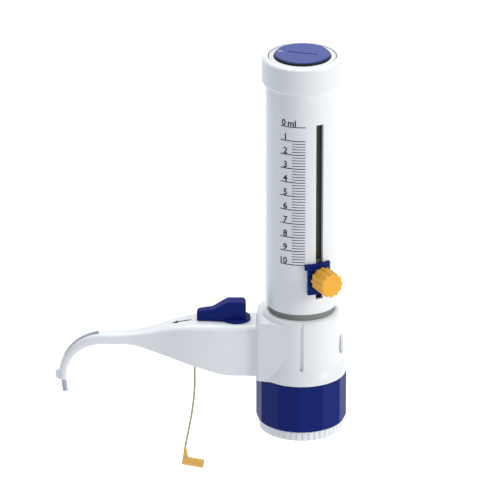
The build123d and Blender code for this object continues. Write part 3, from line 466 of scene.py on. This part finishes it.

# ------------------------------------------------------------------ head cap and calibration disc
# White cap pressed on the sleeve, a white ring set in its mouth, and the blue disc that a coin
# turns to calibrate the stroke. Painted shade darkens its bevelled rim and its coin slot, and an
# index line is inlaid in white.
finish(white_plastic, "head_cap", "head_insert")
disc_blue = moulded_plastic(
    "disc_blue", (0.058, 0.082, 0.29), 0.42, specular=0.2, tone_drift=0.12, grain_depth=0.06
)
disc_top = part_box("calibration_disc")[1][2]
rim_from, rim_to = 16.4 * MM, 16.8 * MM
rim_painted_shade = 0.5
slot_from, slot_to = disc_top - 0.4 * MM, disc_top - 0.6 * MM
slot_painted_shade = 0.1
index_from, index_to = disc_top - 0.1 * MM, disc_top - 0.2 * MM
index_inner, index_outer = 11.0 * MM, 15.0 * MM
index_blur = 0.1 * MM
index_white = (0.8, 0.8, 0.8, 1)

# painted shade darkens the rim and the coin slot, and the floor of the shallow index line is
# white
disc_tree = disc_blue.node_tree
disc_nodes, disc_link = disc_tree.nodes, disc_tree.links.new
disc_base = disc_nodes["Principled BSDF"].inputs["Base Color"]
disc_place = disc_nodes.new("ShaderNodeTexCoord")
disc_flat = disc_nodes.new("ShaderNodeVectorMath")
disc_flat.operation = "MULTIPLY"
disc_flat.inputs[1].default_value = (1, 1, 0)
disc_out = disc_nodes.new("ShaderNodeVectorMath")
disc_out.operation = "LENGTH"
disc_parts = disc_nodes.new("ShaderNodeSeparateXYZ")
disc_link(disc_place.outputs["Object"], disc_flat.inputs[0])
disc_link(disc_flat.outputs[0], disc_out.inputs[0])
disc_link(disc_place.outputs["Object"], disc_parts.inputs[0])
radius, height = disc_out.outputs["Value"], disc_parts.outputs["Z"]
rim = ramp_of(disc_tree, radius, rim_from, rim_to, 1, rim_painted_shade)
deep = ramp_of(disc_tree, height, slot_to, slot_from, slot_painted_shade, 1)
inlaid = ramp_of(disc_tree, height, index_to, index_from, 1, 0)
inner = ramp_of(disc_tree, radius, index_inner - index_blur, index_inner)
outer = ramp_of(disc_tree, radius, index_outer, index_outer + index_blur, 1, 0)
between = combined(disc_tree, "MULTIPLY", inner, outer)
with_index = disc_nodes.new("ShaderNodeMix")
with_index.data_type = "RGBA"
with_index.inputs["B"].default_value = index_white
disc_link(disc_base.links[0].from_socket, with_index.inputs["A"])
disc_link(combined(disc_tree, "MULTIPLY", inlaid, between), with_index.inputs["Factor"])
disc_with_painted_shade = disc_nodes.new("ShaderNodeVectorMath")
disc_with_painted_shade.operation = "SCALE"
disc_link(with_index.outputs["Result"], disc_with_painted_shade.inputs[0])
# painted shade of the rim and the slot scales the colour down
disc_link(combined(disc_tree, "MULTIPLY", rim, deep), disc_with_painted_shade.inputs["Scale"])
disc_link(disc_with_painted_shade.outputs["Vector"], disc_base)
finish(disc_blue, "calibration_disc")

# ------------------------------------------------------------------ volume slider
# Blue curved plate with the pointer, moulded to lie on the sleeve, and the dark lug behind it,
# which runs in the slot and meets the stop ring.
finish(blue_plastic, "slider_plate")
finish(dark_plastic, "slider_stop")

# ------------------------------------------------------------------ clamp knob
# Warm yellow lobed knob, moulded on the steel screw that clamps the slider. Light sinks a little
# way into its plastic.
knob_glow = 0.4
knob_glow_spread = (1.0, 0.45, 0.12)
knob_glow_depth = 4 * MM
# a painted highlight lightens the knob's edges
yellow_plastic = moulded_plastic(
    "yellow_plastic", (0.97, 0.47, 0.050), 0.42, specular=0.25, tone_drift=0.06, edge_lift=0.25,
    grain_depth=0.08,
)
yellow_shader = yellow_plastic.node_tree.nodes["Principled BSDF"]
yellow_shader.inputs["Subsurface Weight"].default_value = knob_glow
yellow_shader.inputs["Subsurface Radius"].default_value = knob_glow_spread
yellow_shader.inputs["Subsurface Scale"].default_value = knob_glow_depth
finish(yellow_plastic, "clamp_knob")

# ------------------------------------------------------------------ discharge arm
# White tapered arm shell with its closing cover below, and the clear discharge tube that runs
# through the nozzle and shows in the open channel on the outside of the bend.
tube_clearness = 0.35
finish(white_plastic, "arm_shell", "arm_cover")
# a painted highlight lightens the tube's edges
clear_tube = moulded_plastic(
    "clear_tube", (0.60, 0.64, 0.70), 0.28, specular=0.4, tone_drift=0.05, edge_lift=0.2
)
tube_shader = clear_tube.node_tree.nodes["Principled BSDF"]
tube_shader.inputs["Transmission Weight"].default_value = tube_clearness
finish(clear_tube, "discharge_tube")

# ------------------------------------------------------------------ flow arrow
# Plain arrow printed in the scale's ink along the top of the arm. It points to the nozzle and
# follows the arm's surface, as two strips: the head and the stem.
arrow_tip = -78.6 * MM
arrow_neck = -74.4 * MM
arrow_tail = -66.4 * MM
arrow_head_half = 1.9 * MM
arrow_stem_half = 0.65 * MM
arrow_steps = 10
arrow_weld = 0.001 * MM
above_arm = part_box("arm_shell")[1][2] + 10 * MM

arrow_parts = []
for start, end, half_start, half_end in (
    (arrow_tip, arrow_neck, 0.0, arrow_head_half),
    (arrow_neck, arrow_tail, arrow_stem_half, arrow_stem_half),
):
    bpy.ops.object.select_all(action="DESELECT")
    bpy.ops.mesh.primitive_grid_add(x_subdivisions=arrow_steps, y_subdivisions=2, size=1)
    strip = bpy.context.object
    for point in strip.data.vertices:
        share = point.co.x + 0.5
        half = half_start + (half_end - half_start) * share
        over = Vector((start + (end - start) * share, 2 * point.co.y * half, above_arm))
        point.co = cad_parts["arm_shell"].ray_cast(over, Vector((0, 0, -1)))[1]
    arrow_parts.append(strip)
flow_arrow = joined(arrow_parts, "flow_arrow")
bpy.ops.object.mode_set(mode="EDIT")
bpy.ops.mesh.select_all(action="SELECT")
bpy.ops.mesh.remove_doubles(threshold=arrow_weld)
bpy.ops.mesh.normals_make_consistent(inside=False)
bpy.ops.object.mode_set(mode="OBJECT")
laid_on(flow_arrow, 2 * ink_thickness, 0)
flow_arrow.data.materials.append(ink)
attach(flow_arrow, "valve_block")

# ------------------------------------------------------------------ lever
# Dark blue moulded lever of the recirculation valve, a grip with a pointer on a round foot. It is
# pressed on the turning plug in the arm.
finish(blue_plastic, "valve_lever")

# ------------------------------------------------------------------ strap and closure cap
# Round tan-yellow elastomer strap that hangs from its anchor under the arm and carries the soft
# yellow cap that closes the nozzle's tube.
strap_diameter = 1.3 * MM
strap_route = [
    (-64.6, 41.7),
    (-64.35, 31.7),
    (-64.6, 21.3),
    (-65.9, 9.4),
    (-68.0, -2.8),
    (-70.4, -15.2),
]
strap_round_steps = 6
strap_curve_steps = 16
strap_elastomer = moulded_plastic(
    "strap_elastomer", (0.50, 0.43, 0.24), 0.5, specular=0.3, tone_drift=0.15, grain_depth=0.1
)
# a painted highlight lightens the cap's edges
cap_elastomer = moulded_plastic(
    "cap_elastomer", (0.88, 0.50, 0.13), 0.45, specular=0.35, tone_drift=0.25, edge_lift=0.3
)
strap_curve = bpy.data.curves.new("tether", "CURVE")
strap_curve.dimensions = "3D"
strap_curve.bevel_depth = strap_diameter / 2
strap_curve.bevel_resolution = strap_round_steps
strap_curve.resolution_u = strap_curve_steps
strap_curve.use_fill_caps = True
spline = strap_curve.splines.new("NURBS")
spline.points.add(len(strap_route) - 1)
for point, (across, height) in zip(spline.points, strap_route):
    point.co = (across * MM, 0, height * MM, 1)
spline.order_u = 3
spline.use_endpoint_u = True
tether = bpy.data.objects.new("tether", strap_curve)
bpy.context.collection.objects.link(tether)
tether.data.materials.append(strap_elastomer)
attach(tether, "tether")
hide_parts("tether_strap")
finish(strap_elastomer, "strap_anchor")
finish(cap_elastomer, "closure_cap")
